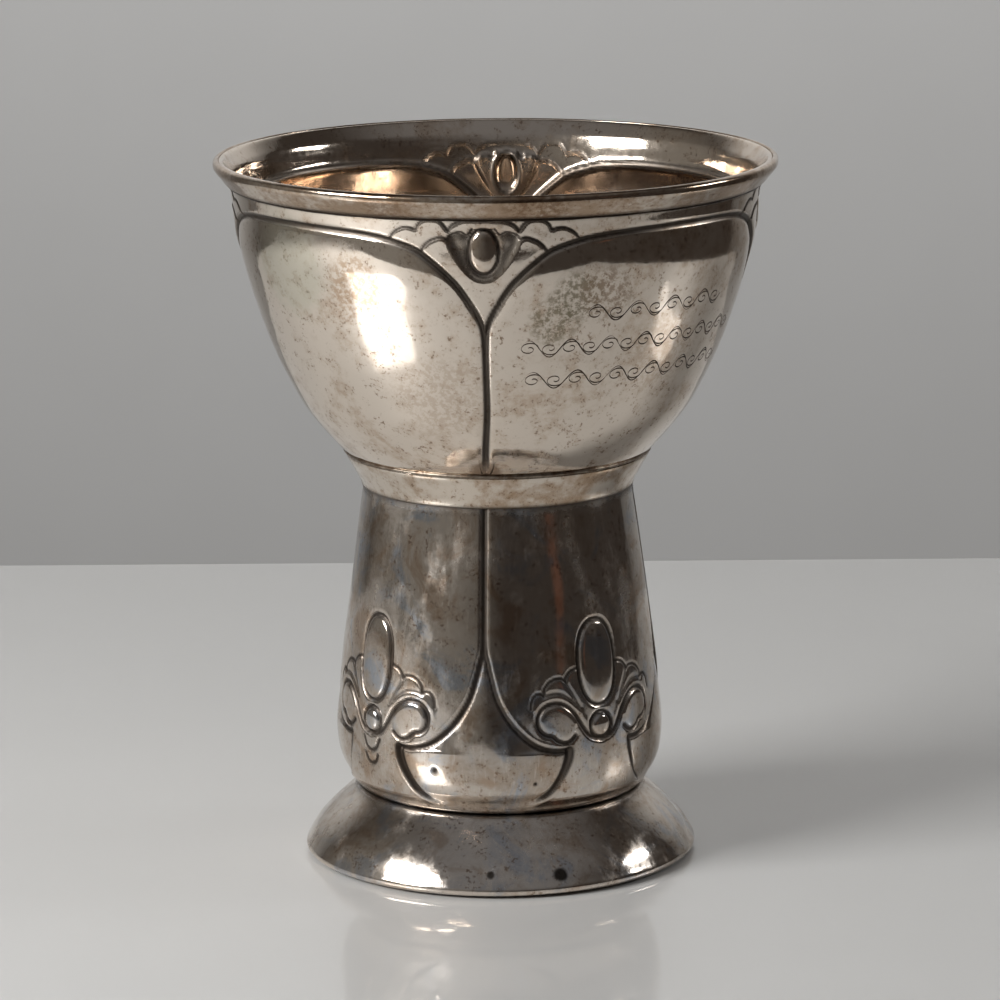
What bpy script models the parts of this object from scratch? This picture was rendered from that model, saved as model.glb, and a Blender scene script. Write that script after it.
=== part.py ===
"""Footed silver drinking cup, built as a silversmith builds it: raised sheet parts, drawn
wires and the solder seams that hold them together.

Outlines are in millimetres as (radius, height) pairs and become metres when a part is turned.
+Z is up, the cup's axis is the Z axis, and the origin is the centre of the face it stands on.
"""

import math

import bpy

MM = 0.001

# Driving dimensions, in millimetres.
CUP_HEIGHT = 148.0
SHEET = 1.1              # thickness of the raised silver sheet
JOINT_GAP = 0.3          # clearance that neighbouring parts keep, where the solder runs
COLLAR_FOOT = 79.7       # height of the collar's lower edge
COLLAR_TOP = 85.6        # height of the collar's upper edge
COLLAR_BORE = 26.0       # least inner radius of the collar
FOOT_TOP = 14.2          # height of the foot's soldering flange
FLANGE_RADIUS = 27.5     # inner radius of the flanges between column and foot
TURN_STEPS = 48          # sides of every turned part
BOWL_CURVE_STEPS = 2     # points added between two points of the bowl's outline
SEAT_CURVE_STEPS = 5     # the same for the collar's seat, which lies outside the bowl's chords
SEAM_BEAD_SIDES = 5      # sides of a solder bead's section
SEAT_BELOW_TOP = 0.2     # how far below the collar's upper edge its seat ends
EDGE_ROLL = 1.2          # height of the foot's rolled edge over its lowest point
EDGE_INSIDE = 2.0        # height above which the foot's inner side runs parallel to its outer
WIRE_EASE = 0.25         # the small bevel on the base wire's lower corners

# The outer side of each raised part, from its lowest to its highest point.
BOWL_WALL = (
    (0.0, 80.4), (12.0, 80.7), (20.5, 81.8), (30.4, 85.9), (39.9, 96.0),
    (47.7, 112.0), (52.3, 128.0), (54.5, 141.0), (55.4, 144.6), (57.1, 147.2),
)
COLUMN_WALL = (
    (28.6, 14.5), (30.5, 15.3), (32.2, 17.6), (33.4, 20.9), (34.0, 27.0),
    (33.6, 37.0), (32.1, 50.0), (30.7, 60.0), (28.1, COLLAR_FOOT - JOINT_GAP),
)
FOOT_WALL = (
    (39.2, 0.3), (40.6, 0.6), (41.4, 1.8), (40.6, 3.4), (38.5, 6.3),
    (34.6, 10.2), (31.4, 13.0), (29.8, FOOT_TOP),
)
COLLAR_FACE = ((28.3, COLLAR_FOOT), (29.7, 82.7), (31.1, COLLAR_TOP))

# The lip wire's outer face, from its lower edge to the top of the lip.
LIP_WIRE_FACE = (
    (55.5, 143.0), (57.3, 144.9), (58.4, 146.5), (58.4, 147.5), (57.7, CUP_HEIGHT),
)

# The square wire that the foot stands on.
BASE_WIRE_INNER = 37.0
BASE_WIRE_OUTER = 38.8
BASE_WIRE_HEIGHT = 3.4

# Each solder seam: name, radius and height of its ring, and radius of its bead.
SOLDER_SEAMS = (
    ("lip_solder_seam", 55.3, 142.3, 0.25),
    ("collar_solder_seam", 31.55, 86.1, 0.25),
    ("column_top_solder_seam", 26.0, 79.5, 0.4),
    ("foot_flange_solder_seam", 26.7, 14.3, 0.4),
    ("base_wire_solder_seam", 36.2, 3.3, 0.4),
)

SILVER = (0.72, 0.69, 0.64)
DARK_SILVER = (0.42, 0.40, 0.37)
SOLDER = (0.56, 0.50, 0.43)


def smooth_curve(points, steps):
    """Points along a Catmull-Rom curve that passes through the given points."""
    first = tuple(2 * a - b for a, b in zip(points[0], points[1]))
    last = tuple(2 * a - b for a, b in zip(points[-1], points[-2]))
    chain = [first, *points, last]
    curve = []
    for before, start, end, after in zip(chain, chain[1:], chain[2:], chain[3:]):
        for step in range(steps):
            t = step / steps
            curve.append(tuple(
                0.5 * (2 * s + (e - b) * t + (2 * b - 5 * s + 4 * e - a) * t**2
                       + (3 * s - b - 3 * e + a) * t**3)
                for b, s, e, a in zip(before, start, end, after)
            ))
    curve.append(tuple(points[-1]))
    return curve


def offset_curve(curve, distance):
    """The curve moved sideways: to its left, seen along its direction, if distance is positive."""
    moved = []
    for index, (radius, height) in enumerate(curve):
        r0, z0 = curve[max(index - 1, 0)]
        r1, z1 = curve[min(index + 1, len(curve) - 1)]
        length = math.hypot(r1 - r0, z1 - z0)
        moved.append((
            max(radius - distance * (z1 - z0) / length, 0.0),
            height + distance * (r1 - r0) / length,
        ))
    return moved


def make_material(name, colour, roughness):
    material = bpy.data.materials.new(name)
    material.use_nodes = True
    shader = material.node_tree.nodes["Principled BSDF"]
    shader.inputs["Base Color"].default_value = (*colour, 1.0)
    shader.inputs["Metallic"].default_value = 1.0
    shader.inputs["Roughness"].default_value = roughness
    return material


def turn(name, section, material, collection, on_axis=False):
    """A solid of revolution. section runs down the part's outer side and back up its inner side."""
    count = len(section)
    edges = [(i, i + 1) for i in range(count - 1)]
    if not on_axis:
        edges.append((count - 1, 0))
    mesh = bpy.data.meshes.new(name)
    mesh.from_pydata([(r * MM, 0.0, z * MM) for r, z in section], edges, [])
    part = bpy.data.objects.new(name, mesh)
    collection.objects.link(part)
    screw = part.modifiers.new("Turn", "SCREW")
    screw.axis = "Z"
    screw.angle = math.tau
    screw.steps = TURN_STEPS
    screw.render_steps = TURN_STEPS
    screw.use_merge_vertices = True
    screw.merge_threshold = 0.00001
    screw.use_smooth_shade = True
    part.data.materials.append(material)
    return part


def build_bowl(material, collection):
    """The raised bowl: closed at the bottom, with a lip that flares out under its wire."""
    outer = smooth_curve(BOWL_WALL, BOWL_CURVE_STEPS)
    inner = offset_curve(outer, SHEET)
    return turn("bowl_shell", inner + outer[::-1], material, collection, on_axis=True)


def build_lip_wire(material, collection):
    """The half-round wire soldered round the outside of the flared lip."""
    bowl_side = [
        point for point in offset_curve(smooth_curve(BOWL_WALL, BOWL_CURVE_STEPS), -JOINT_GAP)
        if point[1] > LIP_WIRE_FACE[0][1]
    ]
    section = list(LIP_WIRE_FACE[::-1]) + bowl_side
    return turn("lip_wire", section, material, collection)


def build_collar(material, collection):
    """The tapered band between bowl and column. Its bevelled top edge carries the bowl."""
    seat = [
        point for point in offset_curve(smooth_curve(BOWL_WALL, SEAT_CURVE_STEPS), -JOINT_GAP)
        if point[0] > COLLAR_BORE and point[1] < COLLAR_TOP - SEAT_BELOW_TOP
    ]
    bore = seat[0][0]
    outer = smooth_curve(COLLAR_FACE, 3)
    section = outer[::-1] + [(bore, COLLAR_FOOT)] + seat
    return turn("collar_ring", section, material, collection)


def build_column(material, collection):
    """The hollow tapered column, turned in at the bottom to a flange that meets the foot."""
    outer = smooth_curve(COLUMN_WALL, 2)
    flange_top = outer[0][1] + SHEET
    inner = [point for point in offset_curve(outer, SHEET) if point[1] > flange_top]
    flange = [(FLANGE_RADIUS, outer[0][1]), (FLANGE_RADIUS, flange_top)]
    return turn("column_shell", outer[::-1] + flange + inner, material, collection)


def build_foot(material, collection):
    """The spreading foot: flange on top, swept side, and an edge rolled under."""
    outer = smooth_curve(FOOT_WALL, 2)
    inner = offset_curve(outer, SHEET)
    inside = [point for point in inner if EDGE_INSIDE < point[1] < FOOT_TOP - SHEET]
    edge = [(FOOT_WALL[0][0], EDGE_ROLL)]
    flange = [(FLANGE_RADIUS, FOOT_TOP - SHEET), (FLANGE_RADIUS, FOOT_TOP)]
    return turn("foot_shell", outer[::-1] + edge + inside + flange, material, collection)


def build_base_wire(material, collection):
    """The wire inside the foot's rolled edge, whose flat lower face the cup stands on."""
    section = [
        (BASE_WIRE_OUTER, BASE_WIRE_HEIGHT),
        (BASE_WIRE_OUTER, WIRE_EASE),
        (BASE_WIRE_OUTER - WIRE_EASE, 0.0),
        (BASE_WIRE_INNER + WIRE_EASE, 0.0),
        (BASE_WIRE_INNER, WIRE_EASE),
        (BASE_WIRE_INNER, BASE_WIRE_HEIGHT),
    ]
    return turn("base_wire", section, material, collection)


def build_solder_seam(name, radius, height, bead, material, collection):
    """A ring of hard solder of round section, in the corner between two parts."""
    section = [
        (radius + bead * math.cos(angle), height + bead * math.sin(angle))
        for angle in (-math.tau * i / SEAM_BEAD_SIDES for i in range(SEAM_BEAD_SIDES))
    ]
    return turn(name, section, material, collection)


def build_cup():
    collection = bpy.data.collections.new("silver_cup")
    bpy.context.scene.collection.children.link(collection)
    silver = make_material("silver", SILVER, 0.22)
    dark = make_material("dark_silver", DARK_SILVER, 0.28)
    solder = make_material("solder", SOLDER, 0.45)
    build_bowl(silver, collection)
    build_lip_wire(silver, collection)
    build_collar(silver, collection)
    build_column(dark, collection)
    build_foot(dark, collection)
    build_base_wire(silver, collection)
    for name, radius, height, bead in SOLDER_SEAMS:
        build_solder_seam(name, radius, height, bead, solder, collection)


for leftover in list(bpy.data.objects):
    bpy.data.objects.remove(leftover)
build_cup()
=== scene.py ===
"""The looks of the footed silver cup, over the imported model's frame.

Shapes are worked out in millimetres and degrees and become metres when a mesh is made. An
azimuth is 0 towards the camera (-Y) and grows towards +X.
"""

import math

import bpy
import numpy as np
from mathutils import Matrix, Vector


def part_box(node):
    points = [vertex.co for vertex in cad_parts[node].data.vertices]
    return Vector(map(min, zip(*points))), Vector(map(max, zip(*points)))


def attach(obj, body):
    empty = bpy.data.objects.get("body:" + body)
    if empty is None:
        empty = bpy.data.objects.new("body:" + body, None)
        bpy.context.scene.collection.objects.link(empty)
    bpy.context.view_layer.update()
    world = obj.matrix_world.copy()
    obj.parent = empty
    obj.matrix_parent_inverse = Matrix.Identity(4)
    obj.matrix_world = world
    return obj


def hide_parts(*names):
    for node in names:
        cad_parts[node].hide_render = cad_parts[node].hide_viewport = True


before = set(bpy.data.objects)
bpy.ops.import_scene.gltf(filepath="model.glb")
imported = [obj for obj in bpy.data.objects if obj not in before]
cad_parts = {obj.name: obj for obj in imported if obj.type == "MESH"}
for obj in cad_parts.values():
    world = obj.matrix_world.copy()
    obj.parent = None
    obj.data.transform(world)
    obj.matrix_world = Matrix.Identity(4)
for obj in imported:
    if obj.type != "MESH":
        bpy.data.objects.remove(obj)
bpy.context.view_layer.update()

MM = 0.001
SECTORS = 4
SECTOR = 360.0 / SECTORS
HALF_SECTOR = SECTOR / 2

BOWL_SEAM = -2.6          # azimuth of the bowl's front seam, in degrees
COLUMN_MOTIF = -51.6      # azimuth of a motif on the column, in degrees
COLUMN_SKEW = 1.1         # how far the column's seams lie off the middle between two motifs
SEAM_LEAN = 1.6           # how far the bowl's seams lean sideways at the bottom, in degrees
UNEVEN = 0.1              # swell of hand-raised metal, in millimetres
GRIME_AND_SHADE_EDGE = (0.12, 0.62)  # how deep in a recess the tarnish and painted shade start, and where they are solid


def top_of(node):
    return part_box(node)[1].z / MM


def bottom_of(node):
    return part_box(node)[0].z / MM


def radius_of(node):
    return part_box(node)[1].x / MM


CUP_TOP = top_of("lip_wire")
LIP_RADIUS = radius_of("lip_wire")
COLLAR_FOOT = bottom_of("collar_ring")
COLLAR_TOP = top_of("collar_ring")
BOWL_BOTTOM = bottom_of("bowl_shell")
COLUMN_FOOT = bottom_of("column_shell")
FOOT_TOP = top_of("foot_shell")


# ---------------------------------------------------------------- curves and height fields

def smooth_path(points, per_span=8):
    """A dense Catmull-Rom curve through 2-D points."""
    p = np.array(points, float)
    p = np.vstack([2 * p[0] - p[1], p, 2 * p[-1] - p[-2]])
    t = np.linspace(0.0, 1.0, per_span, endpoint=False)[:, None]
    spans = [
        0.5 * (2 * b + (c - a) * t + (2 * a - 5 * b + 4 * c - d) * t**2
               + (3 * b - a - 3 * c + d) * t**3)
        for a, b, c, d in zip(p, p[1:], p[2:], p[3:])
    ]
    return np.vstack([*spans, p[-2:-1]])


def distance_to(u, v, path):
    """Each grid point's distance to a path, both in millimetres."""
    nearest = np.full(u.shape, np.inf)
    for (au, av), (bu, bv) in zip(path, path[1:]):
        du, dv = bu - au, bv - av
        along = np.clip(((u - au) * du + (v - av) * dv) / (du * du + dv * dv + 1e-12), 0, 1)
        nearest = np.minimum(nearest, np.hypot(u - au - along * du, v - av - along * dv))
    return nearest


def inside_of(u, v, outline):
    """Whether each grid point lies inside a closed outline."""
    inside = np.zeros(u.shape, bool)
    for (au, av), (bu, bv) in zip(outline, np.roll(outline, -1, axis=0)):
        if av == bv:
            continue
        crosses = (av > v) != (bv > v)
        inside ^= crosses & (u < (bu - au) * (v - av) / (bv - av) + au)
    return inside


def ease(value, low, high):
    """0 below low, 1 above high, and smooth between."""
    t = np.clip((value - low) / (high - low), 0.0, 1.0)
    return t * t * (3 - 2 * t)


def bell(distance, width):
    return np.exp(-(distance / width) ** 2)


def cushion(distance, width):
    """Rises from 0 at an edge to 1 at width away from it, steepest at the edge."""
    return 1 - (1 - np.clip(distance / width, 0.0, 1.0)) ** 2


def to_mm(points, radius_at):
    """(degrees, height) points as (millimetres of arc, height)."""
    return [(math.radians(a) * radius_at(z), z) for a, z in points]


class Profile:
    """A turned outline, from its lowest point to its highest, in millimetres."""

    def __init__(self, points, per_span=12):
        self.path = smooth_path(points, per_span)

    def radius(self, z):
        return float(np.interp(z, self.path[:, 1], self.path[:, 0]))

    def rows(self, cuts):
        """Points on the outline and its outward normals, spaced as the (height, spacing) cuts say."""
        steps = np.hypot(*np.diff(self.path, axis=0).T)
        run = np.concatenate([[0.0], np.cumsum(steps)])
        run_at = [np.interp(z, self.path[:, 1], run) for z, _ in cuts]
        marks = [
            np.linspace(a, b, max(int(math.ceil((b - a) / spacing)), 1), endpoint=False)
            for a, b, (_, spacing) in zip(run_at, run_at[1:], cuts)
        ]
        at = np.concatenate([*marks, [run_at[-1]]])
        r = np.interp(at, run, self.path[:, 0])
        z = np.interp(at, run, self.path[:, 1])
        dr, dz = np.gradient(r, at), np.gradient(z, at)
        length = np.hypot(dr, dz)
        return r, z, dz / length, -dr / length


def wobble(azimuth, z, seed, waves=16, finest=9):
    """A slow, uneven swell of the surface, as hand-raised metal has, about +-1."""
    rng = np.random.default_rng(seed)
    total = np.zeros(np.broadcast(azimuth, z).shape)
    weight = 0.0
    for _ in range(waves):
        around = int(rng.integers(1, finest))
        upward = rng.uniform(-0.3, 0.3)
        share = 1.0 / (1.0 + around / 5 + abs(upward) * 6)
        total += share * np.sin(around * np.radians(azimuth) + upward * z + rng.uniform(0, math.tau))
        weight += share * share
    return total / math.sqrt(weight * 2)


# ---------------------------------------------------------------- meshes

def sector_columns(cuts):
    """Azimuths across one sector, mirrored about its middle, without its last column."""
    marks = [
        np.linspace(a, b, max(int(math.ceil((b - a) / spacing)), 1), endpoint=False)
        for (a, spacing), (b, _) in zip(cuts, cuts[1:])
    ]
    half = np.concatenate([*marks, [HALF_SECTOR]])
    return np.concatenate([-half[:0:-1], half[:-1]])


def weave(name, points, pole=False):
    """A mesh from rows of rings, closed into a loop of rows.

    With pole, it is not a loop: the first and last rows shrink to points on the axis.
    """
    rows, columns = points.shape[:2]
    index = np.arange(rows * columns).reshape(rows, columns)
    upper = index[:-1] if pole else index
    lower = index[1:] if pole else np.roll(index, -1, axis=0)
    quads = np.stack(
        [upper, lower, np.roll(lower, -1, axis=1), np.roll(upper, -1, axis=1)], axis=-1
    ).reshape(-1, 4)
    verts = points.reshape(-1, 3)
    faces = quads.tolist()
    if pole:
        first, last = index[0], index[-1]
        tips = np.array([[0.0, 0.0, points[0, :, 2].mean()], [0.0, 0.0, points[-1, :, 2].mean()]])
        start = len(verts)
        verts = np.vstack([verts, tips])
        faces += [[start, a, b] for a, b in zip(first, np.roll(first, -1))]
        faces += [[start + 1, b, a] for a, b in zip(last, np.roll(last, -1))]
    mesh = bpy.data.meshes.new(name)
    mesh.from_pydata((verts * MM).tolist(), [], faces)
    mesh.shade_smooth()
    return mesh


def ring_points(radius, z, azimuth):
    """XYZ from radius, height and azimuth in degrees."""
    a = np.radians(azimuth)
    return np.stack(np.broadcast_arrays(radius * np.sin(a), -radius * np.cos(a), z), axis=-1)


def paint(mesh, name, values):
    """Store one number per vertex, for the material to read. The tips on the axis take 0."""
    values = np.concatenate([values.ravel(), np.zeros(len(mesh.vertices) - values.size)])
    layer = mesh.attributes.new(name, "FLOAT", "POINT")
    layer.data.foreach_set("value", values.astype(np.float32))


def add_piece(name, mesh, material, slot, *nodes):
    piece = bpy.data.objects.new(name, mesh)
    bpy.context.scene.collection.objects.link(piece)
    mesh.materials.append(material)
    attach(piece, "root")
    if nodes:
        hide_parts(*nodes)
    return piece


# ---------------------------------------------------------------- the bowl's relief

BOWL = Profile([
    (12.0, BOWL_BOTTOM + 0.3), (20.5, 81.8), (30.4, 85.9), (35.0, 90.0), (39.9, 96.0),
    (43.3, 102.0), (47.0, 110.0), (49.7, 118.0), (51.8, 126.0), (53.3, 132.0),
    (54.05, 137.5), (54.8, 142.3), (55.1, 143.6),
])
FIELD_LIFT = 0.3          # how far the plain ground of the bowl lies over the grooves' edges
BOWL_LIFT = 0.1           # the ground itself, over the outline above
BOWL_SHEET = 1.0
BOWL_SEED = 4
SEAT_FADE = (86.5, 91.0)  # heights between which the relief starts, over the collar
LIP_FADE = (142.2, 143.4)  # heights between which it ends, under the lip wire

# The lines of the bowl's ornament, each a half that is mirrored, in degrees and height.
# ARCH is half of the line that parts two panels: up the seam, then out along the arch.
ARCH = [
    (0.0, 86.0), (0.0, 100.0), (0.0, 112.0), (0.15, 118.0), (0.5, 120.5), (1.2, 122.3),
    (2.25, 124.2), (3.5, 126.2), (4.8, 128.1), (6.3, 130.0), (8.4, 132.0), (10.8, 134.0),
    (13.6, 136.0), (16.2, 137.1), (20.4, 138.2), (25.0, 138.9), (32.0, 139.3), (45.0, 139.5),
]
SPANDREL_LOBES = [
    (13.3, 136.0), (12.7, 137.2), (11.5, 138.3), (10.0, 139.0), (8.7, 139.3), (7.7, 138.9),
]
PETAL_TOP = [(7.7, 138.9), (7.0, 139.7), (5.8, 140.2), (4.5, 140.3), (3.4, 139.8), (2.4, 140.9)]
OUTER_LOBE_A = [(20.4, 138.2), (19.4, 139.6), (18.0, 140.6), (16.2, 141.1), (14.2, 140.7)]
OUTER_LOBE_B = [
    (14.2, 140.7), (13.4, 142.0), (11.9, 142.9), (10.2, 143.0), (8.6, 142.2), (7.3, 140.5),
]
OUTER_LOBE_C = [(7.3, 140.5), (6.4, 141.8), (4.4, 142.7), (2.0, 143.1), (0.0, 143.2)]
CHANNEL = [
    (0.0, 130.0), (1.9, 130.4), (3.5, 131.6), (4.8, 133.3), (6.0, 135.3), (7.1, 137.2),
    (7.7, 138.9),
]
CABOCHON = (136.4, 2.7, 4.2)      # height of its middle, half its width, half its height


def oval(u, v, middle, half_width, half_height, power=2.0):
    """0 at an oval's middle and 1 on its edge."""
    across, upward = np.abs(u / half_width), np.abs((v - middle) / half_height)
    return (across ** power + upward ** power) ** (1 / power)


def from_oval(u, v, middle, half_width, half_height, power=2.0):
    """Millimetres outwards from an oval's edge, for u >= 0."""
    a = np.linspace(-math.pi / 2, math.pi / 2, 25)
    c, s = np.clip(np.cos(a), 0, 1), np.sin(a)
    edge = np.stack([
        half_width * c ** (2 / power),
        middle + half_height * np.sign(s) * np.abs(s) ** (2 / power),
    ], axis=1)
    away = distance_to(u, v, edge)
    return np.where(oval(u, v, middle, half_width, half_height, power) < 1, -away, away)


def bowl_relief(degrees, z):
    """Height of the chased relief, and how deep in a recess each point is, for |degrees| <= 45."""
    side = np.abs(degrees)
    u = np.radians(side) * np.interp(z, BOWL.path[:, 1], BOWL.path[:, 0])

    def line(points):
        return np.array(to_mm(smooth_path(points), BOWL.radius))

    # the swelling panels, the plain ground over their arches and the groove between the two
    arch = line(ARCH)
    edge = distance_to(u, z, arch)
    arch_top = np.interp(side, [a for a, _ in ARCH], [h for _, h in ARCH])
    in_panel = (z < arch_top) | (z < 119.0)
    high = ease(z, 112.0, 132.0)
    panel = (0.22 + 0.5 * high) * cushion(edge, 2.0 + 5.5 * high)
    field = FIELD_LIFT * cushion(edge, 0.8)
    relief = np.where(in_panel, panel, field) - 0.45 * bell(edge, 0.6)
    # recess sets how dark each point is painted: tarnish in the grooves together with painted shade
    recess = bell(edge, 0.75)

    # two tiers of lobes in the spandrel, each a low step behind a fine line
    above = ~in_panel
    outer = np.vstack([line(OUTER_LOBE_A), line(OUTER_LOBE_B), line(OUTER_LOBE_C)])
    outer_edge = distance_to(u, z, outer)
    outer_top = np.interp(u, outer[::-1, 0], outer[::-1, 1])
    in_outer = above & (z < outer_top) & (u < outer[0, 0])
    inner = np.vstack([line(SPANDREL_LOBES), line(PETAL_TOP)])
    inner_edge = distance_to(u, z, inner)
    inner_top = np.interp(u, inner[::-1, 0], inner[::-1, 1])
    in_inner = above & (z < inner_top) & (u < inner[0, 0])
    relief += np.where(in_outer, 0.13 * cushion(outer_edge, 0.5), 0.0)
    relief -= np.where(above & ~in_outer, 0.12 * bell(outer_edge, 0.35), 0.0)
    relief += np.where(in_inner, 0.16 * cushion(inner_edge, 0.6), 0.0)
    relief -= np.where(above & ~in_inner, 0.16 * bell(inner_edge, 0.35), 0.0)
    recess = np.maximum(recess, 0.8 * bell(outer_edge, 0.38) * above)
    recess = np.maximum(recess, 0.8 * bell(inner_edge, 0.42) * above)

    # the dark channel round the cabochon, with a petal on each side of it
    channel = line(CHANNEL)
    channel_edge = distance_to(u, z, channel)
    channel_width = np.interp(z, channel[:, 1], channel[:, 0])
    in_channel = in_inner & (u < channel_width) & (z > CHANNEL[0][1])
    dish = 0.14 * cushion(channel_edge, 0.7) + 0.075 * (z - CHANNEL[0][1]) * cushion(channel_edge, 1.6)
    petal = bell(np.hypot(u - 4.7, (z - 138.8) / 1.3), 1.0)
    relief += np.where(in_channel, 0.12 * petal - dish, 0.0)
    # the channel is painted darker as well: tarnish with painted shade
    recess = np.where(in_channel, np.maximum(recess, 0.36 * cushion(channel_edge, 0.5)), recess)

    # the cabochon and the groove round it
    middle, half_width, half_height = CABOCHON
    out = oval(u, z, middle, half_width, half_height)
    ring = from_oval(u, z, middle, half_width, half_height)
    relief = np.where(out < 1, relief + 0.75 * np.sqrt(np.clip(1 - out**2.4, 0, 1)), relief)
    relief -= 0.3 * bell(ring - 0.35, 0.35)
    recess = np.where(out < 1, 0.0, recess)
    recess = np.maximum(recess, bell(ring - 0.3, 0.45))
    return relief, ease(recess, *GRIME_AND_SHADE_EDGE)


def seam_lean(z):
    """How far the seams lean sideways at a height, in degrees: they start off under the collar."""
    return SEAM_LEAN * (1 - ease(z, 86.0, 104.0))


def bowl_side(columns, azimuths, cuts, gain, sink, calm_foot):
    """One side of the bowl: its points, how deep in a recess each is, and its height.

    gain strengthens the relief and sink sets the side back. With calm_foot, the unevenness of the
    raised metal dies out where the collar holds the bowl.
    """
    r, z, nr, nz = BOWL.rows(cuts)
    degrees, height = np.meshgrid(columns, z)
    relief, recess = bowl_relief(degrees, height)
    fade = ease(height, *SEAT_FADE) * (1 - ease(height, *LIP_FADE))
    relief = np.tile((relief - FIELD_LIFT) * fade * gain + BOWL_LIFT, (1, SECTORS))
    azimuth = BOWL_SEAM + azimuths[None, :] - seam_lean(z)[:, None]
    uneven = UNEVEN * wobble(azimuth, z[:, None], BOWL_SEED)
    if calm_foot:
        uneven = uneven * ease(z, 86.0, 92.0)[:, None]
    lift = relief + uneven - sink
    points = ring_points(r[:, None] + nr[:, None] * lift, z[:, None] + nz[:, None] * lift, azimuth)
    return points, np.tile(recess * fade, (1, SECTORS)), np.tile(height, (1, SECTORS))


def build_bowl(material):
    """The raised bowl with its chased panels, which show in reverse on its inside."""
    columns = sector_columns([(0.0, 0.21), (2.4, 0.39), (22.0, 2.1), (HALF_SECTOR, 1.0)])
    round_cup = np.concatenate([columns + SECTOR * k for k in range(SECTORS)])
    outside, recess, height = bowl_side(columns, round_cup, [
        (BOWL_BOTTOM + 0.35, 3.0), (88.0, 1.7), (118.0, 0.9), (126.0, 0.31), (143.6, 0.3),
    ], 1.0, 0.0, True)
    # painted shadow under the lip wire: the top of the bowl's outside is painted dark just below it
    recess = np.maximum(recess, 0.9 * ease(height, 142.2, 142.9))
    inside, recess_in, height_in = bowl_side(columns, round_cup, [
        (BOWL_BOTTOM + 0.35, 5.0), (90.0, 3.0), (124.0, 0.8), (130.0, 0.6), (143.6, 0.5),
    ], 1.1, BOWL_SHEET, False)

    # the lip flares out from the top of the wall to the wire
    lip = smooth_path([
        (55.1, 143.6), (55.5, 144.6), (56.5, 146.1), (57.3, 147.2), (57.2, 147.7), (56.7, 147.85),
        (56.2, 147.5), (55.5, 146.5), (54.7, 145.3), (54.1, 144.2),
    ], 2)[1:-1]
    lip_rows = ring_points(lip[:, :1], lip[:, 1:], round_cup[None, :] + BOWL_SEAM)

    points = np.concatenate([inside, lip_rows[::-1], outside[::-1]])
    mesh = weave("bowl", points, pole=True)
    blank = np.zeros(lip_rows.shape[:2])
    paint(mesh, "recess", np.concatenate([recess_in * 0.85, blank, recess[::-1]]))
    # the inside is painted browner and darker towards its bottom, and the lip's flare a little
    darker_low_inside = 1 - 0.75 * ease(height_in, 134.0, 141.0)
    paint(mesh, "inner", np.concatenate([darker_low_inside, blank + 0.3, 0 * recess]))
    return add_piece("bowl", mesh, material, "silver", "bowl_shell")


def bowl_spot(azimuth, z, proud):
    """A point proud of the bowl's chased outside, from its azimuth and height."""
    from_seam = azimuth - BOWL_SEAM + seam_lean(z)
    in_sector = (from_seam + HALF_SECTOR) % SECTOR - HALF_SECTOR
    relief, _ = bowl_relief(in_sector, z)
    lift = relief - FIELD_LIFT + BOWL_LIFT + UNEVEN * wobble(azimuth, z, BOWL_SEED) + proud
    run = np.gradient(BOWL.path, axis=0)
    run /= np.hypot(run[:, 0], run[:, 1])[:, None]
    r, nr, nz = (
        np.interp(z, BOWL.path[:, 1], values) for values in (BOWL.path[:, 0], run[:, 1], -run[:, 0])
    )
    return ring_points(r + nr * lift, z + nz * lift, azimuth)


def scroll_row(start, end, z, period, height):
    """A running scroll as strokes of (arc, height) points: one waving stem and a curl in every wave."""
    length = math.radians(end - start) * BOWL.radius(z)
    waves = max(int(round(length / period)), 1)
    period = length / waves
    along = np.linspace(0.0, length, waves * 36)
    strokes = [np.stack([along, z + height * np.sin(math.tau * along / period)], axis=1)]
    for k in range(2 * waves):
        up = 1 if k % 2 == 0 else -1
        t = np.linspace(0.0, 1.0, 34)
        turn = math.pi * 0.05 + t * math.tau * 1.35
        reach = height * 0.92 * (1 - t) ** 0.75 + 0.12
        middle = (k + 0.5) * period / 2
        strokes.append(np.stack([
            middle + reach * np.cos(turn) * 1.15,
            z + up * (height * 0.02 + reach * np.sin(turn) * 0.8),
        ], axis=1))
    return [
        (start + np.degrees(stroke[:, 0] / BOWL.radius(z)), stroke[:, 1]) for stroke in strokes
    ]


# From which azimuth to which, and at what height, each row of scroll runs.
ENGRAVED_ROWS = ((20.0, 62.0, 123.0), (5.0, 74.0, 116.0), (6.0, 72.0, 109.2))
SCROLL_PERIOD = 8.4
SCROLL_HEIGHT = 1.8
CUT_WIDTH = 0.4           # half the widest stroke
CUT_PROUD = 0.035         # how far the dark film stands over the silver
CUT_DEPTH = 0.15          # how far it reaches into it


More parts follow.
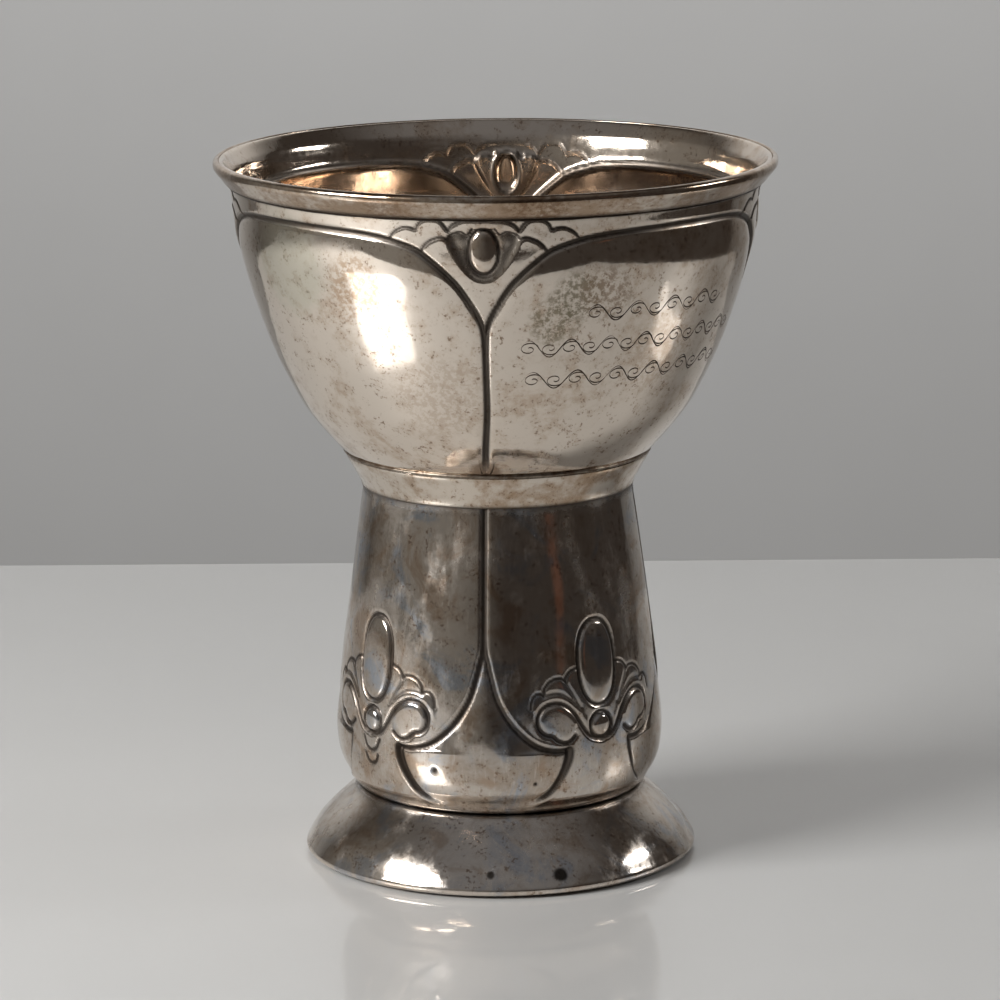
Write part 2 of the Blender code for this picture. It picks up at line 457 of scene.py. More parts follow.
def build_flourish(material):
    """Rows of plain running scroll, cut where such cups carry their engraving."""
    verts, faces = [], []
    for start, end, z in ENGRAVED_ROWS:
        for azimuth, height in scroll_row(start, end, z, SCROLL_PERIOD, SCROLL_HEIGHT):
            middle = bowl_spot(azimuth, height, CUT_PROUD)
            deep = bowl_spot(azimuth, height, -CUT_DEPTH)
            along = np.gradient(middle, axis=0)
            out = middle - deep
            aside = np.cross(along, out)
            aside /= np.linalg.norm(aside, axis=1)[:, None] + 1e-9
            t = np.linspace(0.0, math.pi, len(middle))[:, None]
            pressure = 0.35 + 0.65 * np.abs(np.sin(t * 3.0))
            swell = CUT_WIDTH * pressure * np.clip(np.sin(t) * 6, 0.15, 1)
            core = middle * 0.4 + deep * 0.6
            ribs = np.stack([middle, core + aside * swell, deep, core - aside * swell], axis=1)
            first = len(verts)
            verts.extend(ribs.reshape(-1, 3).tolist())
            last = first + 4 * (len(middle) - 1)
            for at in range(first, last, 4):
                for k in range(4):
                    m = (k + 1) % 4
                    faces.append((at + k, at + m, at + 4 + m, at + 4 + k))
            faces.append((first + 3, first + 2, first + 1, first))
            faces.append((last, last + 1, last + 2, last + 3))
    mesh = bpy.data.meshes.new("engraved_scroll")
    mesh.from_pydata((np.array(verts) * MM).tolist(), [], faces)
    add_piece("engraved_scroll", mesh, material, "silver")


# ---------------------------------------------------------------- the column's relief

COLUMN = Profile([
    (29.2, 14.6), (30.6, 15.3), (32.0, 17.3), (33.1, 20.0), (33.8, 24.0), (34.0, 28.0),
    (33.7, 34.0), (33.2, 40.0), (32.1, 49.0), (30.7, 60.0), (29.3, 70.0), (28.3, 77.0),
    (28.05, 79.5),
])
PANEL_EDGE = [
    (45.0, 84.0), (45.0, 60.0), (44.9, 52.0), (44.5, 49.5), (43.7, 47.8), (43.0, 46.0),
    (42.1, 44.0), (41.2, 42.0), (40.0, 40.0), (38.3, 38.0), (36.2, 36.0), (33.6, 34.0),
    (30.2, 32.0), (26.3, 30.3), (22.3, 29.3), (18.0, 28.8), (13.6, 28.9),
]
STEM_EDGE = [
    (13.6, 28.9), (14.0, 27.0), (15.1, 25.0), (16.7, 23.0), (18.8, 21.0), (21.2, 19.5),
    (24.5, 18.2), (28.0, 17.0),
]
# The volute's groove and the leaves, in millimetres from the motif's middle.
VOLUTE = [
    (0.0, 30.2), (2.4, 30.8), (3.8, 32.0), (5.0, 33.8), (6.2, 35.8), (7.4, 37.3), (8.9, 38.4),
    (10.5, 38.9), (12.4, 38.7), (13.8, 37.8), (14.7, 36.3), (14.8, 34.8), (14.3, 33.4),
    (13.2, 32.5), (12.0, 32.2), (11.3, 31.7), (10.5, 31.0), (9.1, 30.5), (7.8, 30.8),
    (6.6, 31.8),
]
LOBE_FROM = 4             # the volute's point at which its raised lobe starts
LEAVES = [
    [(16.2, 38.0), (15.8, 39.8), (14.9, 40.9), (13.9, 41.1), (13.2, 40.5)],
    [(13.0, 42.0), (11.8, 43.3), (10.3, 43.9), (9.1, 43.9), (8.2, 43.2)],
    [(8.0, 44.0), (7.1, 45.0), (5.9, 45.5), (4.9, 45.5)],
]
CREASES = [
    [(13.2, 40.5), (11.5, 40.9), (9.6, 40.8), (7.9, 39.8), (6.2, 38.2)],
    [(8.2, 43.2), (7.4, 41.6), (6.3, 39.6), (5.2, 37.4)],
]
TALL_CABOCHON = (46.3, 4.4, 8.5)
CABOCHON_POWER = 2.3              # a little squarer than an ellipse, which has 2
BEAD = (33.2, 2.75)               # height and radius
CRESCENTS = [[(2.6, 29.3), (1.5, 27.3), (0.0, 26.6)], [(2.0, 25.8), (1.2, 24.3), (0.0, 23.8)]]


def column_relief(degrees, z, crescents):
    """Height of the column's relief, and how deep in a recess each point is, for |degrees| <= 45."""
    side = np.abs(degrees)
    u = np.radians(side) * np.interp(z, COLUMN.path[:, 1], COLUMN.path[:, 0])

    # the panels, and the bell-shaped swellings between them
    panel_line = np.array(to_mm(smooth_path(PANEL_EDGE), COLUMN.radius))
    stem_line = np.array(to_mm(smooth_path(STEM_EDGE), COLUMN.radius))
    edge = distance_to(u, z, panel_line)
    stem = distance_to(u, z, stem_line)
    corner = PANEL_EDGE[-1][1]
    panel_path = smooth_path(PANEL_EDGE)
    stem_path = smooth_path(STEM_EDGE)
    over = np.interp(z, panel_path[::-1, 1], panel_path[::-1, 0])
    under = np.interp(z, stem_path[::-1, 1], stem_path[::-1, 0])
    in_panel = np.where(z > corner, side < over, side < under)
    in_panel |= z > 52.0
    low = 1 - ease(z, 46.0, 54.0)
    near = np.minimum(edge, stem)
    panel = 0.34 * cushion(near, 1.1)
    reach = np.where(z > corner, HALF_SECTOR - over, HALF_SECTOR - under)
    across = np.clip((HALF_SECTOR - side) / np.maximum(reach, 0.6), 0.0, 1.0)
    swell = (1 - ease(z, 27.0, 50.0)) * ease(z, 15.0, 23.0)
    spandrel = 0.95 * swell * (1 - across**2) - 0.3 * low
    relief = np.where(in_panel, panel, spandrel) - 0.34 * bell(edge, 0.55)
    relief -= 0.3 * bell(stem, 0.5) * ease(z, 17.5, 22.0)
    relief += np.where(in_panel, 0.07 * bell(near - 1.0, 0.4), 0.0) * low
    wedge = 0.55 + 0.5 * ease(z, 20.0, 28.0)
    # recess sets how dark each point is painted: tarnish in the grooves together with painted shade
    recess = np.maximum(bell(edge, 0.75), bell(stem, wedge) * ease(z, 16.5, 20.0))

    # the volutes, with a raised lobe in each
    volute = np.array(smooth_path(VOLUTE, 5))
    groove = distance_to(u, z, volute)
    lobe = smooth_path(VOLUTE[LOBE_FROM:], 5)
    in_lobe = inside_of(u, z, lobe)
    relief += np.where(in_lobe, 0.27 * cushion(groove, 1.5), 0.0)
    relief += np.where(~in_lobe & in_panel, 0.06 * bell(groove - 1.2, 0.5) * ease(z, 31.0, 35.0), 0.0)
    relief -= 0.42 * bell(groove, 0.42)
    recess = np.maximum(recess, bell(groove, 0.55))

    # the fan of leaves behind them
    fan = np.vstack([smooth_path(leaf, 5) for leaf in LEAVES])
    fan_edge = distance_to(u, z, fan)
    in_fan = inside_of(u, z, np.vstack([fan, [(4.9, 36.0), (8.0, 37.0), (15.0, 37.0)]]))
    relief += np.where(in_fan & ~in_lobe, 0.08 * cushion(fan_edge, 0.6), 0.0)
    relief -= 0.16 * bell(fan_edge, 0.32)
    recess = np.maximum(recess, 0.9 * bell(fan_edge, 0.42))
    for crease in CREASES:
        fold = distance_to(u, z, smooth_path(crease, 5))
        relief -= 0.14 * bell(fold, 0.45)
        recess = np.maximum(recess, 0.5 * bell(fold, 0.45))

    # the tall cabochon, and the bead under it
    middle, half_width, half_height = TALL_CABOCHON
    out = oval(u, z, middle, half_width, half_height, CABOCHON_POWER)
    ring = from_oval(u, z, middle, half_width, half_height, CABOCHON_POWER)
    dome = 0.3 + 0.25 * (1 - out**2) + 0.3 * np.clip(1 - out**8, 0, 1) ** 0.6
    relief = np.where(out < 1, dome, relief)
    relief = np.where((out >= 1) & (ring < 0.9), 0.3, relief)
    relief -= 0.5 * bell(ring - 0.4, 0.42)
    recess = np.where(out < 1, 0.0, recess)
    recess = np.maximum(recess, bell(ring - 0.4, 0.5))

    bead_z, bead_radius = BEAD
    from_bead = np.hypot(u, z - bead_z)
    bead_dome = np.sqrt(np.clip(1 - (from_bead / 2.35) ** 2, 0, 1))
    relief = np.where(from_bead < bead_radius + 0.3, 0.1, relief)
    relief += 0.75 * bead_dome
    relief -= 0.4 * bell(from_bead - bead_radius, 0.45)
    recess = np.where(from_bead < 2.2, 0.0, recess)
    recess = np.maximum(recess, bell(from_bead - bead_radius, 0.5))

    if crescents:
        for crescent in CRESCENTS:
            cut = distance_to(u, z, smooth_path(crescent, 5))
            relief -= 0.35 * bell(cut, 0.4)
            recess = np.maximum(recess, bell(cut, 0.5))
    return relief, ease(recess, *GRIME_AND_SHADE_EDGE)


COLUMN_SEED = 9
COLUMN_DROP = 0.2         # how far the column's ground lies under its outline
PIT_DEPTH = 0.3
PIT_COLUMN_RADIUS = 33.5  # the column's radius near its pits
PITS = ((-23.4, 24.8, 0.75), (12.6, 22.1, 0.6))     # azimuth, height and radius of each


def build_column(material):
    """The hollow column. Its chased panels come down between four bell-shaped swellings."""
    columns = sector_columns([(0.0, 0.52), (30.0, 0.68), (HALF_SECTOR, 1.0)])
    r, z, nr, nz = COLUMN.rows([(14.6, 0.8), (17.5, 0.36), (59.0, 1.6), (79.0, 0.25), (79.5, 0.25)])
    degrees, height = np.meshgrid(columns, z)
    kinds = [column_relief(degrees, height, marked) for marked in (True, False)]
    fade = ease(height, 16.2, 18.5)
    relief = np.concatenate([kinds[k % 2][0] * fade for k in range(SECTORS)], axis=1)
    recess = np.concatenate([kinds[k % 2][1] * fade for k in range(SECTORS)], axis=1)
    skewed = columns + COLUMN_SKEW * (columns / HALF_SECTOR) ** 2
    azimuth = np.concatenate([COLUMN_MOTIF + skewed + SECTOR * k for k in range(SECTORS)])[None, :]
    uneven = UNEVEN * wobble(azimuth, z[:, None], COLUMN_SEED)
    lift = relief - COLUMN_DROP + uneven * ease(z, 16.0, 20.0)[:, None]
    for pit_azimuth, pit_z, pit_radius in PITS:
        across = np.radians(azimuth - pit_azimuth) * PIT_COLUMN_RADIUS
        pit = bell(np.hypot(across, z[:, None] - pit_z) / pit_radius, 0.8)
        lift = lift - PIT_DEPTH * pit
        recess = np.maximum(recess, ease(pit, 0.2, 0.6))
    outside = ring_points(r[:, None] + nr[:, None] * lift, z[:, None] + nz[:, None] * lift, azimuth)
    inner = [(27.7, 14.6), (27.7, 15.6), (31.0, 18.5), (32.5, 26.0), (31.8, 38.0), (30.2, 53.0),
             (27.2, 79.5)]
    inside = np.stack([ring_points(radius, h, azimuth[0]) for radius, h in inner])
    points = np.concatenate([outside[::-1], inside])
    mesh = weave("column", points)
    # the column is painted darker round its joint with the foot, and dark at its top as painted shade
    # under the collar
    recess = np.maximum(recess, 0.75 * bell(z[:, None] - COLUMN_FOOT, 0.7))
    recess = np.maximum(recess, 0.8 * bell(z[:, None] - COLLAR_FOOT + 0.6, 0.7))
    paint(mesh, "recess", np.concatenate([recess[::-1], np.zeros(inside.shape[:2])]))
    return add_piece("column", mesh, material, "dark_silver", "column_shell")


# ---------------------------------------------------------------- plain turned pieces

PLAIN_COLUMNS = np.arange(0.0, 360.0, 1.0)


def turned_piece(name, section, material, slot, nodes, seed, uneven=0.05, grime_and_shade=(), per_span=4):
    """A piece turned from a closed section, with a hand-made unevenness.

    Its dark bands are given as (height, width, depth): grime along its joints, and painted shade along
    edges that lie in shadow.
    """
    loop = np.array(section, float)
    n = len(loop)
    wrapped = np.vstack([loop[-1], loop, loop[0], loop[1]])
    path = smooth_path(wrapped, per_span)
    path = path[per_span:per_span * (n + 1)]
    r, z = path[:, :1], path[:, 1:]
    swell = uneven * wobble(PLAIN_COLUMNS[None, :], z, seed)
    points = ring_points(r + swell, z + 0.4 * swell, PLAIN_COLUMNS[None, :])
    mesh = weave(name, points)
    recess = np.zeros(points.shape[:2])
    for height, width, depth in grime_and_shade:
        recess = np.maximum(recess, depth * bell(z - height, width))
    paint(mesh, "recess", recess)
    return add_piece(name, mesh, material, slot, *nodes)


def build_foot(material):
    section = [
        (27.9, FOOT_TOP), (29.4, 14.65), (30.4, 14.4), (31.1, 13.6), (32.0, 12.7), (34.2, 10.7),
        (36.6, 8.4), (38.5, 6.3), (39.7, 4.6), (40.6, 3.0), (41.2, 1.8), (41.0, 0.9), (40.2, 0.45),
        (39.2, 0.4),
        (39.3, 1.3), (39.3, 3.0), (38.2, 4.6), (35.8, 7.0), (32.6, 10.2), (30.2, 12.6), (28.2, 13.1),
    ]
    # dark bands: one at the joint with the column, and painted shade along the foot's lowest edge where
    # it meets the table
    turned_piece("foot", section, material, "dark_silver", ["foot_shell"], seed=21, uneven=0.1, grime_and_shade=[
        (14.6, 0.5, 0.7), (0.4, 0.4, 0.5),
    ])


def build_base_wire(material):
    section = [
        (38.9, 3.3), (38.95, 0.5), (38.6, 0.08), (38.2, 0.03), (37.7, 0.03), (37.3, 0.08),
        (37.0, 0.5), (37.0, 3.3),
    ]
    turned_piece("base_wire_ring", section, material, "silver", ["base_wire"], seed=3, uneven=0.0)


def build_lip(material):
    section = [
        (57.55, CUP_TOP), (58.2, CUP_TOP - 0.35), (LIP_RADIUS, 147.0), (58.25, 146.2),
        (57.6, 145.35), (56.9, 144.5), (56.2, 143.6), (55.6, 143.05), (55.2, 143.2),
        (55.45, 144.2), (56.5, 145.9), (57.3, 147.0), (57.25, 147.7),
    ]
    # the dark band along the bottom of the lip band is painted shadow under the lip wire
    turned_piece("lip_band", section, material, "silver", ["lip_wire"], seed=6, uneven=0.05, grime_and_shade=[
        (143.1, 0.45, 0.8),
    ])


def build_collar(material):
    section = [
        (31.6, COLLAR_TOP + 0.85), (31.75, 85.7), (30.8, 84.0), (29.8, 82.2), (29.0, 80.8),
        (28.65, COLLAR_FOOT + 0.2), (28.5, COLLAR_FOOT - 0.4), (28.15, COLLAR_FOOT - 0.55),
        (27.5, COLLAR_FOOT - 0.1), (27.0, 81.6),
        (27.3, 83.2), (29.0, 84.6), (30.6, 85.8),
    ]
    # the collar's lower edge is painted dark: painted shade with some tarnish
    turned_piece("collar", section, material, "silver", ["collar_ring"], seed=12, uneven=0.07, grime_and_shade=[
        (COLLAR_FOOT - 0.5, 0.5, 0.95),
    ])


# Each ring's name, the seam it stands for, its radius, height, thickness, grime and painted shade, and
# its seed. The lip's ring is painted fully dark as the shadow line under the lip wire.
SOLDER_RINGS = (
    ("lip_solder", "lip_solder_seam", 55.05, 142.9, 0.35, 1.0, 31),
    ("collar_solder", "collar_solder_seam", 31.85, 86.6, 0.36, 0.45, 32),
    ("column_top_solder", "column_top_solder_seam", 26.3, 79.6, 0.4, 0.6, 33),
    ("foot_flange_solder", "foot_flange_solder_seam", 27.0, 14.3, 0.4, 0.6, 34),
    ("base_wire_solder", "base_wire_solder_seam", 36.3, 3.3, 0.4, 0.6, 35),
)


def build_solder(name, node, radius, z, thickness, grime_and_shade, material, seed):
    """A ring of solder that runs thicker and thinner round the joint."""
    count = 8
    turn = np.linspace(0, math.tau, count, endpoint=False)[:, None]
    lumps = thickness * (1 + 0.35 * wobble(PLAIN_COLUMNS[None, :], 0.0 * turn, seed, 20, 40))
    r = radius + lumps * np.cos(-turn)
    h = z + lumps * np.sin(-turn)
    mesh = weave(name, ring_points(r, h, PLAIN_COLUMNS[None, :]))
    paint(mesh, "recess", np.full(lumps.shape, grime_and_shade))
    add_piece(name, mesh, material, "solder", node)


# ---------------------------------------------------------------- materials

class Nodes:
    """Short calls for building a material's node tree."""

    def __init__(self, material):
        material.use_nodes = True
        self.tree = material.node_tree
        self.shader = self.tree.nodes["Principled BSDF"]
        coordinates = self.tree.nodes.new("ShaderNodeTexCoord")
        to_millimetres = self.tree.nodes.new("ShaderNodeMapping")
        to_millimetres.inputs["Scale"].default_value = (1 / MM, 1 / MM, 1 / MM)
        self.link(coordinates.outputs["Object"], to_millimetres.inputs["Vector"])
        self.place = to_millimetres.outputs["Vector"]

    def link(self, source, target):
        self.tree.links.new(source, target)

    def noise(self, size, detail=3.0, rough=0.55, stretch=None, distortion=0.0):
        """A 0 to 1 noise whose blotches are about size millimetres across."""
        node = self.tree.nodes.new("ShaderNodeTexNoise")
        node.inputs["Scale"].default_value = 1.0 / size
        node.inputs["Detail"].default_value = detail
        node.inputs["Roughness"].default_value = rough
        node.inputs["Distortion"].default_value = distortion
        place = self.place
        if stretch:
            mapping = self.tree.nodes.new("ShaderNodeMapping")
            mapping.inputs["Scale"].default_value = stretch[:3]
            mapping.inputs["Rotation"].default_value = stretch[3:] or (0, 0, 0)
            self.link(place, mapping.inputs["Vector"])
            place = mapping.outputs["Vector"]
        self.link(place, node.inputs["Vector"])
        return node.outputs["Fac"]

    def between(self, value, low, high, out_low=0.0, out_high=1.0):
        node = self.tree.nodes.new("ShaderNodeMapRange")
        node.interpolation_type = "SMOOTHSTEP"
        self.link(value, node.inputs["Value"])
        node.inputs["From Min"].default_value = low
        node.inputs["From Max"].default_value = high
        node.inputs["To Min"].default_value = out_low
        node.inputs["To Max"].default_value = out_high
        return node.outputs["Result"]

    def math(self, operation, a, b, clamp=False):
        node = self.tree.nodes.new("ShaderNodeMath")
        node.operation = operation
        node.use_clamp = clamp
        for socket, value in zip(node.inputs, (a, b)):
            if isinstance(value, (int, float)):
                socket.default_value = value
            else:
                self.link(value, socket)
        return node.outputs["Value"]

    def mix(self, factor, a, b):
        node = self.tree.nodes.new("ShaderNodeMix")
        node.data_type = "RGBA"
        self.link(factor, node.inputs["Factor"])
        for socket, value in ((node.inputs["A"], a), (node.inputs["B"], b)):
            if isinstance(value, tuple):
                socket.default_value = (*value, 1.0)
            else:
                self.link(value, socket)
        return node.outputs["Result"]

    def attribute(self, name):
        node = self.tree.nodes.new("ShaderNodeAttribute")
        node.attribute_name = name
        return node.outputs["Fac"]

    def height(self):
        """Height above the table, in millimetres."""
        node = self.tree.nodes.new("ShaderNodeSeparateXYZ")
        self.link(self.place, node.inputs["Vector"])
        return node.outputs["Z"]

    def near(self, point, radius, ragged=0.35, grain=2.5):
        """1 around a point in millimetres, fading to 0 at a ragged edge."""
        node = self.tree.nodes.new("ShaderNodeVectorMath")
        node.operation = "DISTANCE"
        self.link(self.place, node.inputs[0])
        node.inputs[1].default_value = point
        away = self.math("DIVIDE", node.outputs["Value"], radius)
        wander = self.math("MULTIPLY", self.noise(grain, 5.0, 0.7), ragged * 2)
        return self.between(self.math("ADD", away, wander), 1.0 + ragged * 1.1, 0.55 + ragged)

    def bump(self, *layers):
        """Stack (height in millimetres, value) layers into the shader's normal."""
        normal = None
        for depth, value in layers:
            node = self.tree.nodes.new("ShaderNodeBump")
            node.inputs["Distance"].default_value = depth * MM
            self.link(value, node.inputs["Height"])
            if normal:
                self.link(normal, node.inputs["Normal"])
            normal = node.outputs["Normal"]
        self.link(normal, self.shader.inputs["Normal"])


def on_cup(azimuth, radius, z):
    """A point in millimetres, for placing a stain."""
    a = math.radians(azimuth)
    return (radius * math.sin(a), -radius * math.cos(a), z)


# near-black for recesses, joints and some edges: tarnish together with painted shade
GRIME_AND_SHADE = (0.035, 0.026, 0.02)
SPECK_BROWN = (0.24, 0.15, 0.095)
INNER_BROWN = (0.40, 0.295, 0.21)


def silver(name, bright, tarnish, tarnish_share, roughness, stains=(), hammered=0.09,
           fineness=1.0, blueing=0.0):
    """Old silver: polished where hands reach, brown and dull in the recesses, which also carry painted
    shade.

    stains lists the (place, radius, colour, strength, speckled) of single stains. hammered is
    the depth of the hammer's facets in millimetres. fineness above 1 makes the mottles smaller
    and draws them out sideways. blueing is the strength of the blue and brown tarnish films.
    """
    material = bpy.data.materials.new(name)
    n = Nodes(material)
    n.shader.inputs["Metallic"].default_value = 1.0
    cloud = n.noise(17.0, 6.0, 0.6, distortion=0.6)
    sideways = (1.0, 1.0, 1.8, 0.0, 0.0, 0.0) if fineness > 1 else None
    mottle = n.noise(3.2 / fineness, 8.0, 0.68, sideways)
    speck = n.noise(0.75, 4.0, 0.65)
    aged = n.math("ADD", n.math("MULTIPLY", cloud, 0.6), n.math("MULTIPLY", mottle, 0.4))
    aged = n.between(aged, 0.62 - tarnish_share, 0.8 - tarnish_share)
    colour = n.mix(aged, bright, tarnish)
    if blueing:
        film = n.noise(11.0, 5.0, 0.62, distortion=0.8)
        colour = n.mix(n.between(film, 0.50, 0.66, 0.0, blueing), colour, (0.42, 0.47, 0.54))
        colour = n.mix(n.between(film, 0.48, 0.32, 0.0, blueing), colour, (0.47, 0.34, 0.24))
        scuff = n.noise(0.5, 3.0, 0.6, (1.0, 1.0, 0.07, 0.25, 0.15, 0.0))
        colour = n.mix(n.between(scuff, 0.54, 0.72, 0.0, 0.45), colour, (0.85, 0.78, 0.70))
    dots = n.math("MULTIPLY", n.between(speck, 0.54, 0.62), n.between(mottle, 0.47, 0.6))
    colour = n.mix(n.math("MULTIPLY", dots, 0.8), colour, SPECK_BROWN)
    for point, radius, tint, strength, speckled in stains:
        patch = n.math("MULTIPLY", n.near(point, radius), strength)
        if speckled:
            patch = n.math("MULTIPLY", patch, n.between(n.noise(1.2, 6.0, 0.72), 0.43, 0.57, 0.1, 1.0))
        colour = n.mix(patch, colour, tint)
    inner = n.attribute("inner")
    colour = n.mix(n.math("MULTIPLY", inner, 0.75), colour, INNER_BROWN)
    # recesses, joints and some edges are painted near-black: tarnish together with painted shade
    recess = n.attribute("recess")
    colour = n.mix(n.math("MULTIPLY", recess, 0.93), colour, GRIME_AND_SHADE)
    n.link(colour, n.shader.inputs["Base Color"])
    dull = n.math("ADD", n.math("MULTIPLY", aged, 0.07), n.math("MULTIPLY", recess, 0.35))
    dull = n.math("ADD", dull, n.math("MULTIPLY", inner, 0.08))
    grain = n.between(n.noise(1.3, 5.0, 0.65), 0.3, 0.7, 0.0, 0.05)
    rough = n.math("ADD", n.math("ADD", dull, roughness), grain)
    if blueing:
        rubbed = n.noise(8.0, 5.0, 0.65, (1.0, 1.0, 0.5, 0.2, 0.1, 0.0))
        rough = n.math("ADD", rough, n.between(rubbed, 0.46, 0.68, -0.02, 0.16))
    n.link(rough, n.shader.inputs["Roughness"])
    n.bump(
        (hammered, n.noise(6.5, 2.0, 0.45)),
        (0.006, n.noise(1.2, 3.0, 0.5)),
        (0.004, n.noise(0.35, 2.0, 0.5, (1.0, 1.0, 0.12, 0.3, 0.2, 0.0))),
    )
    return material


def engraving_material():
    """The dark film that settles in a cut line."""
    material = bpy.data.materials.new("engraving_film")
    n = Nodes(material)
    n.shader.inputs["Metallic"].default_value = 1.0
    worn = n.between(n.noise(4.0, 4.0, 0.6), 0.35, 0.7)
    n.link(n.mix(worn, (0.05, 0.037, 0.028), (0.15, 0.11, 0.08)), n.shader.inputs["Base Color"])
    n.shader.inputs["Roughness"].default_value = 0.5
    n.bump((0.02, n.noise(0.4, 2.0)))
    return material


def solder_material():
    material = bpy.data.materials.new("old_solder")
    n = Nodes(material)
    n.shader.inputs["Metallic"].default_value = 1.0
    blotch = n.between(n.noise(2.0, 5.0, 0.6), 0.35, 0.65)
    colour = n.mix(blotch, (0.50, 0.43, 0.35), (0.24, 0.17, 0.12))
    # each ring is darkened by its own amount: grime at the joints, and painted shade for the lip's ring
    colour = n.mix(n.attribute("recess"), colour, GRIME_AND_SHADE)
    n.link(colour, n.shader.inputs["Base Color"])
    n.link(n.between(n.noise(1.0, 3.0), 0.3, 0.7, 0.3, 0.5), n.shader.inputs["Roughness"])
    n.bump((0.08, n.noise(1.1, 3.0, 0.6)))
    return material


BROWN = (0.20, 0.115, 0.06)
GREENISH = (0.45, 0.50, 0.38)
PALE_BROWN = (0.50, 0.38, 0.28)
bowl_silver = silver("bowl_silver", (0.82, 0.73, 0.635), (0.60, 0.475, 0.365), 0.15, 0.055, [
    (on_cup(-32, 52, 129), 7.5, (0.48, 0.33, 0.21), 0.75, True),
    (on_cup(-36, 51, 124), 4.5, (0.45, 0.30, 0.19), 0.6, True),
    (on_cup(-52, 53, 131), 13.0, GREENISH, 0.3, False),
    (on_cup(13, 51, 121.5), 6.0, (0.27, 0.225, 0.15), 0.85, True),
    (on_cup(18, 52, 127), 6.5, (0.25, 0.215, 0.15), 0.85, True),
    (on_cup(25, 52, 127), 7.0, (0.32, 0.23, 0.16), 0.75, True),
    (on_cup(45, 50, 112), 12.0, PALE_BROWN, 0.5, True),
    (on_cup(-15, 46, 105), 12.0, PALE_BROWN, 0.45, True),
    (on_cup(-4, 33, 88), 4.0, BROWN, 0.7, False),
])
column_silver = silver(
    "column_silver", (0.66, 0.595, 0.53), (0.50, 0.42, 0.345), 0.17, 0.085, hammered=0.06, blueing=0.8,
)
foot_silver = silver("foot_silver", (0.76, 0.685, 0.61), (0.56, 0.46, 0.37), 0.15, 0.09, [
    (on_cup(18, 40, 4.5), 1.8, (0.03, 0.025, 0.02), 0.95, False),
    (on_cup(-3, 40, 5), 1.2, (0.05, 0.04, 0.03), 0.9, False),
], hammered=0.06, blueing=0.6)
lip_silver = silver("lip_silver", (0.68, 0.595, 0.505), (0.42, 0.31, 0.22), 0.24, 0.08, [
    (on_cup(8, 58, 146), 8.0, (0.22, 0.13, 0.075), 0.8, True),
    (on_cup(-22, 58, 146), 7.0, (0.25, 0.15, 0.09), 0.6, True),
], fineness=2.0)
collar_silver = silver("collar_silver", (0.74, 0.66, 0.57), (0.44, 0.32, 0.22), 0.2, 0.1)
old_solder = solder_material()

build_bowl(bowl_silver)
build_flourish(engraving_material())
build_lip(lip_silver)
build_collar(collar_silver)
build_column(column_silver)
build_foot(foot_silver)
build_base_wire(lip_silver)
for piece, seam, radius, z, thickness, grime_and_shade, seed in SOLDER_RINGS:
    build_solder(piece, seam, radius, z, thickness, grime_and_shade, old_solder, seed)


# ---------------------------------------------------------------- table, backdrop, light, camera

def stage_material(name, colour, roughness, coat=0.0):
    material = bpy.data.materials.new(name)
    n = Nodes(material)
    grain = n.between(n.noise(60.0, 2.0), 0.3, 0.7)
    darker = tuple(c * 0.985 for c in colour)
    n.link(n.mix(grain, colour, darker), n.shader.inputs["Base Color"])
    n.shader.inputs["Roughness"].default_value = roughness
    n.shader.inputs["Coat Weight"].default_value = coat
    n.shader.inputs["Coat Roughness"].default_value = 0.03
    return material


def add_sheet(name, corners, material):
    """A flat stage sheet from its corners, in metres."""
    mesh = bpy.data.meshes.new(name)
    mesh.from_pydata(corners, [], [range(len(corners))])
    sheet = bpy.data.objects.new(name, mesh)
    bpy.context.scene.collection.objects.link(sheet)
    mesh.materials.append(material)


def add_softbox(name, place, target, width, height, power):
    """An area light at place, an (azimuth, elevation, distance) from the cup, that faces target."""
    light = bpy.data.lights.new(name, "AREA")
    light.shape = "RECTANGLE"
    light.size = width
    light.size_y = height
    light.energy = power
    lamp = bpy.data.objects.new(name, light)
    bpy.context.scene.collection.objects.link(lamp)
    a, e, distance = math.radians(place[0]), math.radians(place[1]), place[2]
    spot = Vector((math.sin(a) * math.cos(e), -math.cos(a) * math.cos(e), math.sin(e))) * distance
    lamp.visible_camera = False
    facing = (spot - Vector(target)).to_track_quat("Z", "Y").to_matrix().to_4x4()
    lamp.matrix_world = Matrix.Translation(spot) @ facing


CUP_MIDDLE = (0.0, 0.0, 0.07)
TABLE_LEFT, TABLE_RIGHT, TABLE_FRONT, TABLE_BACK = -1.1, 0.33, -0.36, 0.267
WALL_Y, WALL_HALF_WIDTH, WALL_LOW, WALL_HIGH = 1.1, 1.5, -1.2, 1.4
table = stage_material("pale_table", (0.64, 0.635, 0.62), 0.4, 0.6)
backdrop = stage_material("grey_backdrop", (0.5, 0.497, 0.49), 0.9)
add_sheet("table", [
    (TABLE_LEFT, TABLE_FRONT, 0), (TABLE_RIGHT, TABLE_FRONT, 0),
    (TABLE_RIGHT, TABLE_BACK, 0), (TABLE_LEFT, TABLE_BACK, 0),
], table)
add_sheet("backdrop", [
    (-WALL_HALF_WIDTH, WALL_Y, WALL_LOW), (WALL_HALF_WIDTH, WALL_Y, WALL_LOW),
    (WALL_HALF_WIDTH, WALL_Y, WALL_HIGH), (-WALL_HALF_WIDTH, WALL_Y, WALL_HIGH),
], backdrop)

add_softbox("key_softbox", (-60.5, 31, 0.87), CUP_MIDDLE, 0.37, 0.25, 7.5)
add_softbox("side_softbox", (97, 27, 0.87), CUP_MIDDLE, 0.24, 0.11, 1.15)
add_softbox("backdrop_light", (180, 55, 0.85), (0.0, WALL_Y, 0.5), 1.6, 0.3, 8.6)


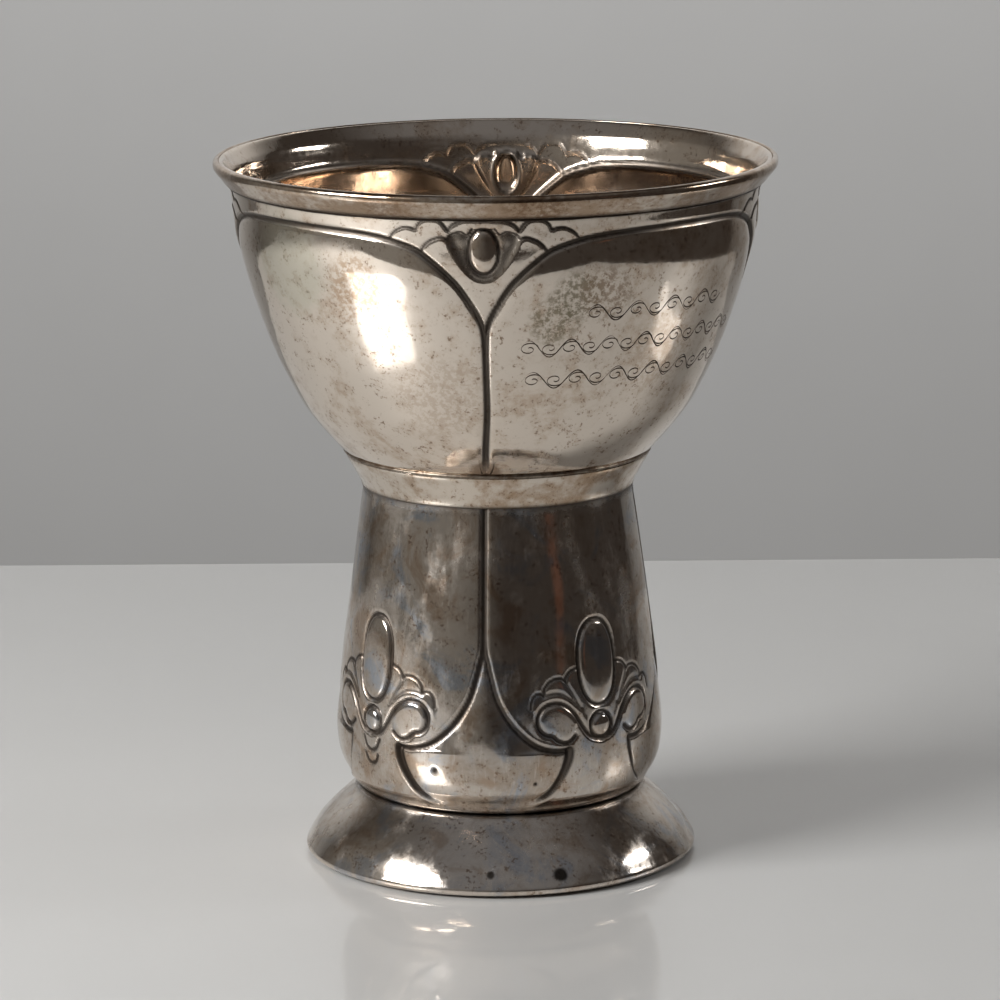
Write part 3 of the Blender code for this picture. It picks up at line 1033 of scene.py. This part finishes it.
def room_light():
    """A dark room, a little lighter at its left and ceiling, with one warm thing at the right."""
    world = bpy.data.worlds.new("studio")
    bpy.context.scene.world = world
    world.use_nodes = True
    tree = world.node_tree
    coordinates = tree.nodes.new("ShaderNodeTexCoord")

    def towards(direction, low, high):
        """0 to 1 as the cosine to a direction rises from low to high."""
        dot = tree.nodes.new("ShaderNodeVectorMath")
        dot.operation = "DOT_PRODUCT"
        tree.links.new(coordinates.outputs["Generated"], dot.inputs[0])
        dot.inputs[1].default_value = direction
        ramp = tree.nodes.new("ShaderNodeMapRange")
        ramp.interpolation_type = "SMOOTHSTEP"
        tree.links.new(dot.outputs["Value"], ramp.inputs["Value"])
        ramp.inputs["From Min"].default_value = low
        ramp.inputs["From Max"].default_value = high
        return ramp.outputs["Result"]

    def mix(factor, a, b):
        node = tree.nodes.new("ShaderNodeMix")
        node.data_type = "RGBA"
        tree.links.new(factor, node.inputs["Factor"])
        node.inputs["B"].default_value = (*b, 1.0)
        if isinstance(a, tuple):
            node.inputs["A"].default_value = (*a, 1.0)
        else:
            tree.links.new(a, node.inputs["A"])
        return node.outputs["Result"]

    room = mix(towards((-0.93, -0.37, 0.0), 0.25, 0.95), (0.042, 0.036, 0.032), (0.20, 0.19, 0.175))
    room = mix(towards((0.0, -0.5, 0.866), 0.5, 1.0), room, (0.165, 0.165, 0.17))
    room = mix(towards((0.72, -0.69, 0.03), 0.9935, 0.9982), room, (0.115, 0.06, 0.042))
    tree.links.new(room, tree.nodes["Background"].inputs["Color"])


room_light()

camera_data = bpy.data.cameras.new("camera")
camera_data.lens = 168.3
camera_data.sensor_width = 36.0
camera_data.clip_start = 0.05
camera = bpy.data.objects.new("camera", camera_data)
bpy.context.scene.collection.objects.link(camera)
camera.matrix_world = (
    Matrix.Translation((0.00043, -0.9599, 0.2830))
    @ Matrix.Rotation(math.radians(77.77), 4, "X")
    @ Matrix.Rotation(math.radians(-0.43), 4, "Z")
)
bpy.context.scene.camera = camera
bpy.context.scene.view_settings.view_transform = "Standard"
